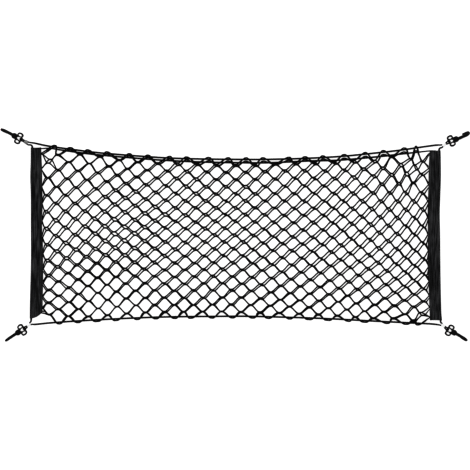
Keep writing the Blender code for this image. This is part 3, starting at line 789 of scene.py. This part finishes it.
def make_net(material):
    """The net as two layers of yarn: the back one lies on the floor and the front one on it."""
    noise.seed_set(NOISE_SEED)
    for name, front, seed in LAYERS:
        joints = joints_of(front, random.Random(seed))
        lines = []
        for zigzag in range(TOP_ROW, BOTTOM_ROW):
            points = zigzag_line(front, zigzag, joints)
            lines.append((points[:, :3], points[:, 3], False))
        net = add_piece(name, tube_mesh(name, lines, YARN_SIDES), material, "netting", "net")


# Cords


def corner_point(name, along, beside, height):
    """A point of a corner's own frame in the net's: the hook's frame, or the sleeve's from its end on.

    Beside is positive towards the cord's side run.
    """
    x, y, hook_turn, sleeve_turn, run_side = CORNERS[name]
    angle = math.radians(sleeve_turn if along <= CRIMP_TO + PAST_CRIMP else hook_turn)
    left = -run_side * beside
    right, up, _ = NUDGE[name]
    return (
        x + right + along * math.cos(angle) - left * math.sin(angle),
        y + up + along * math.sin(angle) + left * math.cos(angle),
        height,
    )


def rolled(name, along, beside, height):
    """A point of the corner's frame turned with its hook, all of it at the yoke and nothing at the crimp."""
    run_side = CORNERS[name][-1]
    start, end = ROLL_FADE
    part = eased((along - start) / (end - start))
    roll = math.radians(HOOK_ROLL[name]) * part
    left = -run_side * beside
    up = height - ROLL_HEIGHT
    turned = left * math.cos(roll) - up * math.sin(roll)
    lifted = ROLL_HEIGHT + left * math.sin(roll) + up * math.cos(roll) + hook_lift(name) * part
    return along, -run_side * turned, max(lifted, LEG_RADIUS)


def hook_lift(name):
    """How far a hook has to rise to lie on the floor when it is rolled over on its boss."""
    roll = math.radians(abs(HOOK_ROLL[name]))
    return BOSS_FOOT * math.sin(roll) - ROLL_HEIGHT * (1 - math.cos(roll))


def corner_loop(name):
    """In at the crimp from the side run, round the yoke's bar, and out to the top or bottom run."""
    around = LEG_RADIUS + CLEARANCE + LOOP_EASE
    low, high = PLATE_BOTTOM - around, PLATE_TOP + around
    far = YOKE_BAR + around
    slant = around * math.sqrt(0.5)
    rows = [
        # along, beside, height
        (CRIMP_FROM - PAST_CRIMP - SPREAD_LENGTH, SPREAD_OFFSET, CRIMP_Z),
        (CRIMP_FROM - PAST_CRIMP, LEG_OFFSET + CRIMP_FLARE, CRIMP_Z),
        (CRIMP_TO + PAST_CRIMP, LEG_OFFSET, CRIMP_Z),
        (-3.2, 1.7, 2.1),
        (YOKE_END, 1.8, low),
        (YOKE_BAR, 1.7, low),
        (YOKE_BAR + slant, 1.3, PLATE_BOTTOM - slant),
        (far, 0.7, PLATE_BOTTOM),
        (far, -0.7, PLATE_TOP),
        (YOKE_BAR + slant, -1.3, PLATE_TOP + slant),
        (YOKE_BAR, -1.7, high),
        (YOKE_END, -1.8, high),
        (YOKE_END - slant, -1.8, PLATE_TOP + slant),
        (-4.0, -1.7, 5.0),
        (CRIMP_TO + PAST_CRIMP, -LEG_OFFSET, CRIMP_Z),
        (CRIMP_FROM - PAST_CRIMP, -LEG_OFFSET - CRIMP_FLARE, CRIMP_Z),
        (CRIMP_FROM - PAST_CRIMP - SPREAD_LENGTH, -SPREAD_OFFSET, CRIMP_Z),
    ]
    return [(*corner_point(name, *rolled(name, *row)), LEG_RADIUS) for row in rows]


def side_run(stations):
    """The cord inside a band, from top to bottom, just inside the fold."""
    inset = BAND_THICKNESS + CLEARANCE + CORD_EASE + CORD_RADIUS
    rows = []
    for y_fold, x_fold, x_edge, _ in stations:
        x = x_fold - math.copysign(inset, x_fold - x_edge)
        rows.append([x, y_fold, BAND_HEIGHT / 2, CORD_RADIUS])
    rows[0][1] += CORD_PAST_BAND
    rows[-1][1] -= CORD_PAST_BAND
    return rows


def bottom_cord_height(x):
    """The bottom run lies in the net's fold, and comes down towards the crimps past the net's ends."""
    past = max(0.0, abs(x) - BOTTOM_CORD_LEVEL_X)
    return BOTTOM_CORD_Z + (CRIMP_Z - BOTTOM_CORD_Z) * eased(past / BOTTOM_CORD_SETTLE)


def make_edge_cord(material):
    """One closed cord: top run, right side, bottom run, left side, with a loop at each corner."""
    top = [(x, y, TOP_CORD_Z, CORD_RADIUS) for x, y in TOP_ROUTE]
    bottom = [(x, y, bottom_cord_height(x), CORD_RADIUS) for x, y in BOTTOM_ROUTE]
    route = top + corner_loop("top_right")[::-1]
    route += side_run(BAND_RIGHT) + corner_loop("bottom_right")
    route += bottom[::-1] + corner_loop("bottom_left")[::-1]
    route += side_run(BAND_LEFT)[::-1] + corner_loop("top_left")
    route = np.array(route, float)
    overlap = 3
    wrapped = np.vstack([route[-overlap:], route, route[: overlap + 1]])
    line = smooth_curve(wrapped, CLOSE_CURVE_STEPS)
    line = evenly(line[overlap * CLOSE_CURVE_STEPS : -overlap * CLOSE_CURVE_STEPS], EDGE_CORD_STEP)[:-1]
    mesh = tube_mesh("edge_cord_cover", [(line[:, :3], line[:, 3] + BRAID_SWELL, True)], CORD_SIDES)
    return add_piece("edge_cord_cover", mesh, material, "cord", "edge_cord")


def make_rim_cord(material):
    """The front layer's cord, over the back layer, thinner where it is sewn into the bands."""
    route = []
    for x, y in smooth_curve(RIM_ROUTE, RIM_CURVE_STEPS):
        near = rim_rise(x)
        radius = CORD_RADIUS + (RIM_END_RADIUS - CORD_RADIUS) * near
        route.append((x, y, RIM_CORD_Z + RIM_RISE * near, radius))
    line = evenly(smooth_curve(route, RIM_CURVE_STEPS), RIM_CORD_STEP)
    mesh = tube_mesh("rim_cord_cover", [(line[:, :3], line[:, 3] + BRAID_SWELL, False)], CORD_SIDES)
    return add_piece("rim_cord_cover", mesh, material, "cord", "rim_cord")


# Bands


def band_section(x_fold, x_edge):
    """The folded strip's middle line across its width: lower leaf, fold, upper leaf."""
    outward = math.copysign(1, x_fold - x_edge)
    radius = (BAND_HEIGHT - BAND_THICKNESS) / 2
    centre_x = x_fold - outward * (BAND_THICKNESS / 2 + radius)
    centre_z = BAND_HEIGHT / 2
    shares = [k / BAND_LEAF_POINTS for k in range(BAND_LEAF_POINTS)]
    low = [(x_edge + (centre_x - x_edge) * share, centre_z - radius) for share in shares]
    arc = []
    for k in range(BAND_ARC_POINTS + 1):
        angle = math.pi * (k / BAND_ARC_POINTS - 0.5)
        arc.append((centre_x + outward * radius * math.cos(angle), centre_z + radius * math.sin(angle)))
    top = BAND_HEIGHT - BAND_THICKNESS / 2
    edge = BAND_EDGE_HEIGHT - BAND_THICKNESS / 2
    high = []
    for k in range(1, BAND_LEAF_POINTS + 1):
        t = k / BAND_LEAF_POINTS
        high.append((centre_x + (x_edge - centre_x) * t, top + (edge - top) * eased(t * BAND_SLOPE)))
    return low + arc + high


def band_grid(stations, seed):
    """The folded strip's middle surface: a row of points across it at each step along it, a little uneven."""
    table = smooth_curve(stations, CLOSE_CURVE_STEPS)
    table = evenly(np.column_stack([table[:, 1], table[:, 0], table[:, 2], table[:, 3]]), BAND_STEP)
    rng = random.Random(seed)
    count, rates, sizes = BAND_WAVES
    waves = [(rng.uniform(*rates), rng.uniform(0, 6.3), rng.uniform(*sizes)) for _ in range(count)]
    dip_depth, dip_rate, dip_shift = BAND_DIPS
    first, last = table[0, 1], table[-1, 1]
    grid = []
    for x_fold, y_fold, x_edge, y_edge in table:
        wobble = sum(size * math.sin(rate * y_fold + start) for rate, start, size in waves)
        section = band_section(x_fold, x_edge + wobble)
        draw_in = math.exp((y_fold - first) / BAND_END_FADE) - math.exp((last - y_fold) / BAND_END_FADE)
        row = []
        for k, (x, z) in enumerate(section):
            share = min(1.0, max(0.0, (x - x_fold) / (x_edge - x_fold)))
            dip = dip_depth * share * math.sin(dip_rate * y_fold + dip_shift * seed)
            if k > len(section) / 2:
                z -= abs(dip)
            y = y_fold + (y_edge - y_fold) * share**BAND_CORNER
            row.append((x, y - BAND_END_DIP * 4 * share * (1 - share) * draw_in, z))
        grid.append(row)
    return np.array(grid)


def band_mesh(name, grid):
    rows, columns = grid.shape[:2]
    across = np.concatenate([[0], np.cumsum(np.linalg.norm(np.diff(grid[rows // 2], axis=0), axis=1))])
    faces, maps = [], []
    for i in range(rows - 1):
        for j in range(columns - 1):
            corners = ((i, j), (i, j + 1), (i + 1, j + 1), (i + 1, j))
            faces.append([a * columns + b for a, b in corners])
            maps += [(across[b], a * BAND_STEP) for a, b in corners]
    return mapped_mesh(name, grid.reshape(-1, 3), faces, maps)


def make_band(name, stations, seed, webbing, thread):
    grid = band_grid(stations, seed)
    mesh = band_mesh(name + "_webbing", grid)
    band = add_piece(name + "_webbing", mesh, webbing, "webbing", name)
    face_outwards(mesh)
    shell = band.modifiers.new("thickness", "SOLIDIFY")
    shell.thickness = BAND_THICKNESS * MM
    shell.offset = 0.0
    shell.use_even_offset = True
    stitches = add_piece(name + "_stitches", stitch_mesh(name + "_stitches", grid), thread, "webbing")


def stitch_mesh(name, grid):
    """Two rows of short stitches on the upper leaf, beside the inner edge."""
    lines = []
    for column in STITCH_COLUMNS:
        seam = evenly(grid[:, column] + (0.0, 0.0, BAND_THICKNESS / 2), STITCH_STEP)
        count = len(STITCH_HEIGHTS)
        for start in range(STITCH_START, len(seam) - count - 1, count):
            points = seam[start : start + count].copy()
            points[:, 2] += STITCH_HEIGHTS
            lines.append((points, STITCH_RADIUS, False))
    return tube_mesh(name, lines, STITCH_SIDES)


# Corners


def crimp_ring(half_width, half_height):
    """A flat oval with half-round ends, as (across, up)."""
    straight = half_width - half_height
    ring = []
    for k in range(CRIMP_SIDES):
        angle = 2 * math.pi * (k + 0.5) / CRIMP_SIDES
        across = math.copysign(straight, math.cos(angle)) + half_height * math.cos(angle)
        ring.append((across, half_height * math.sin(angle)))
    return ring


def make_crimp(name, material):
    """An oval sleeve pressed round the loop's two legs, with three shallow grooves from the pliers."""
    width, height = LEG_OFFSET + LEG_RADIUS + CLEARANCE, LEG_RADIUS + CLEARANCE
    end_thinning, end_sharpness = CRIMP_END
    outer, inner = [], []
    for k in range(CRIMP_ROWS + 1):
        share = k / CRIMP_ROWS
        groove = CRIMP_GROOVE * max(0.0, math.cos(2 * CRIMP_GROOVES * math.pi * (share - 0.5))) ** 2
        wall = CRIMP_WALL - groove - end_thinning * abs(2 * share - 1) ** end_sharpness
        along, half_width = CRIMP_FROM + (CRIMP_TO - CRIMP_FROM) * share, width + CRIMP_FLARE * (1 - share)
        outer.append((along, crimp_ring(half_width + wall, height + wall)))
        inner.append((along, crimp_ring(half_width, height)))
    rings = outer + inner[::-1]
    verts = []
    for along, ring in rings:
        verts += [corner_point(name, along, across, CRIMP_Z + up) for across, up in ring]
    faces = []
    for i in range(len(rings)):
        here, there = i * CRIMP_SIDES, (i + 1) % len(rings) * CRIMP_SIDES
        for j in range(CRIMP_SIDES):
            k = (j + 1) % CRIMP_SIDES
            faces.append((here + j, here + k, there + k, there + j))
    mesh = mapped_mesh(f"crimp_{name}_sleeve", verts, faces, [(0.0, 0.0)] * 4 * len(faces))
    face_outwards(mesh)
    add_piece(f"crimp_{name}_sleeve", mesh, material, "steel", f"crimp_{name}")


def corner_matrix(name):
    x, y, hook_turn, _, _ = CORNERS[name]
    return Matrix.Translation((x * MM, y * MM, 0.0)) @ Matrix.Rotation(math.radians(hook_turn), 4, "Z")


def soft_edged(mesh):
    """The mesh as one skin with its corners rounded, as a moulding has them."""
    holder = bpy.data.objects.new("holder", mesh)
    bpy.context.scene.collection.objects.link(holder)
    remesh = holder.modifiers.new("skin", "REMESH")
    remesh.mode = "VOXEL"
    remesh.voxel_size = HOOK_VOXEL * MM
    smooth = holder.modifiers.new("round", "SMOOTH")
    smooth.iterations = HOOK_SMOOTHING
    bpy.context.view_layer.update()
    found = bpy.data.meshes.new_from_object(holder.evaluated_get(bpy.context.evaluated_depsgraph_get()))
    bpy.data.objects.remove(holder)
    return found


def eared(x, y):
    """A place of the plate with the ears' outline and holes rounder and longer."""
    start, end = EAR_FADE
    part = eased((end - x) / (end - start))
    beside = abs(y) + (float(np.interp(abs(y), *EAR_PLACES)) - abs(y)) * part
    stretch = EAR_STRETCH * part * eased((abs(y) - EAR_FROM) / EAR_EASE)
    return EAR_MIDDLE[0] + (x - EAR_MIDDLE[0]) * (1 + stretch), math.copysign(beside, y)


def make_hook(name, material):
    """The CAD hook's own shape with rounded edges, a ring and a dimple on its boss, rolled over a little."""
    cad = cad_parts[f"hook_{name}"]
    mesh = cad.data.copy()
    mesh.transform(corner_matrix(name).inverted() @ cad.matrix_world)
    mesh = soft_edged(mesh)
    mesh.name = f"hook_{name}_moulding"
    swell, swell_end, swell_fade = PLATE_SWELL
    hole_edge, hole_fade = HOLE_EDGE
    for vert in mesh.vertices:
        x, y, z = vert.co / MM
        from_hole = math.hypot((x - EAR_MIDDLE[0]) / HOLE_ZONE[0], (abs(y) - EAR_MIDDLE[1]) / HOLE_ZONE[1])
        grown = swell + (HOLE_SWELL - swell) * eased((hole_edge - from_hole) / hole_fade)
        part = eased((swell_end - x) / swell_fade)
        if z >= PLATE_TOP:
            distance = math.hypot(x - BOSS_CENTRE, y)
            for radius, width, depth in (BOSS_RING, BOSS_DIMPLE):
                z -= depth * math.exp(-(((distance - radius) / width) ** 2))
        vert.co = Vector((*eared(x, y), z)) * MM + vert.normal * grown * part * MM
    up = Matrix.Translation((0.0, 0.0, ROLL_HEIGHT * MM))
    roll = Matrix.Rotation(math.radians(HOOK_ROLL[name]), 4, "X")
    right, away, turn = NUDGE[name]
    moved = Matrix.Translation((right * MM, away * MM, hook_lift(name) * MM))
    turned = Matrix.Rotation(math.radians(turn), 4, "Z")
    mesh.transform(moved @ corner_matrix(name) @ turned @ up @ roll @ up.inverted())
    mesh.shade_smooth()
    add_piece(mesh.name, mesh, material, "plastic", f"hook_{name}")


def make_floor():
    n = Nodes("floor", 0.9, specular=0.1)
    n.set(n.shader, "Base Color", (FLOOR_GREY, FLOOR_GREY, FLOOR_GREY, 1.0))
    n.set(n.shader, "Emission Color", (1.0, 1.0, 1.0, 1.0))
    n.set(n.shader, "Emission Strength", FLOOR_GLOW)
    mesh = bpy.data.meshes.new("floor")
    plane = bmesh.new()
    bmesh.ops.create_grid(plane, x_segments=1, y_segments=1, size=FLOOR_SIZE / 2)
    plane.to_mesh(mesh)
    plane.free()
    mesh.materials.append(n.material)
    floor = bpy.data.objects.new("floor", mesh)
    floor.location.z = -FLOOR_DROP * MM
    bpy.context.scene.collection.objects.link(floor)


def make_light():
    world = bpy.data.worlds.new("studio")
    world.use_nodes = True
    world.node_tree.nodes["Background"].inputs["Color"].default_value = (1.0, 1.0, 1.0, 1.0)
    world.node_tree.nodes["Background"].inputs["Strength"].default_value = WORLD_STRENGTH
    bpy.context.scene.world = world
    lamp = bpy.data.lights.new("key", "AREA")
    lamp.shape = "DISK"
    lamp.size = KEY_SIZE
    lamp.energy = KEY_POWER
    key = bpy.data.objects.new("key", lamp)
    key.location = KEY_PLACE
    key.rotation_euler = (math.radians(KEY_TILT[0]), math.radians(KEY_TILT[1]), 0)
    bpy.context.scene.collection.objects.link(key)
    bpy.context.scene.view_settings.view_transform = "Standard"
    bpy.context.scene.view_settings.gamma = VIEW_GAMMA


def main():
    make_camera()
    yarn = yarn_material()
    braid = braid_material()
    webbing = webbing_material()
    thread = thread_material()
    plastic = plastic_material()
    steel = steel_material("steel", STEEL_GREYS)
    shaded_steel = steel_material("steel_painted_shade", SHADED_STEEL_GREYS)
    make_net(yarn)
    make_edge_cord(braid)
    make_rim_cord(braid)
    make_band("band_left", BAND_LEFT, 3, webbing, thread)
    make_band("band_right", BAND_RIGHT, 4, webbing, thread)
    for name in CORNERS:
        # One sleeve gets the steel with painted shade.
        make_crimp(name, shaded_steel if name == SHADED_SLEEVE else steel)
        make_hook(name, plastic)
    make_floor()
    make_light()


main()
